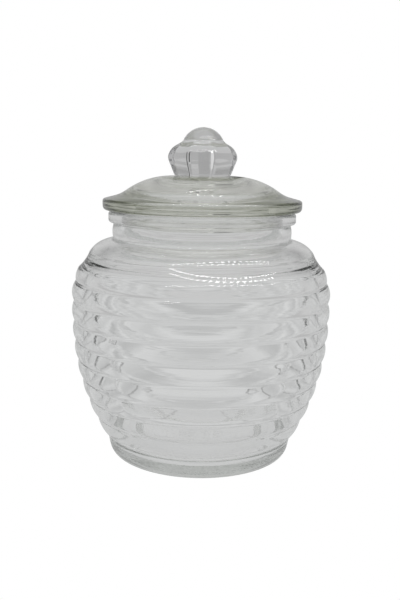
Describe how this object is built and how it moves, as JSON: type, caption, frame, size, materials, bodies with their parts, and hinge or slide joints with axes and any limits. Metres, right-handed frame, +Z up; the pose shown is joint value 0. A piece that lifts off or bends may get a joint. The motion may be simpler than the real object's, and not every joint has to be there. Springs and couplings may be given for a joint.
{
  "type": "glass jar",
  "caption": "Round ribbed clear glass storage jar with a domed lid that lifts off by a faceted clear knob, sealed by a soft clear ring around the lid's plug.",
  "frame": {"origin": "on the surface the jar stands on, under the middle of the jar", "axes": "+Z up along the axis of the jar, -Y towards the viewer of the picture, +X to their right"},
  "size_m": [0.1604, 0.1604, 0.2034],
  "materials": {
    "jar_glass": "clear pressed glass, polished",
    "lid_glass": "clear pressed glass with a faint green tint, polished",
    "knob_acrylic": "clear neutral acrylic, polished",
    "seal_ring": "translucent soft vinyl, satin"
  },
  "bodies": {
    "jar": {"jar_body": "jar_glass"},
    "ring": {"lid_seal": "seal_ring"},
    "lid": {"lid": "lid_glass", "lid_knob": "knob_acrylic"}
  },
  "joints": [
    {"name": "lid_lift", "type": "slide", "parent": "jar", "child": "ring", "axis": [0, 0, 1], "range_m": [0, 0.07]},
    {"name": "lid_turn", "type": "hinge", "parent": "ring", "child": "lid", "pos_m": [0, 0, 0.15316], "axis": [0, 0, 1], "continuous": true}
  ]
}
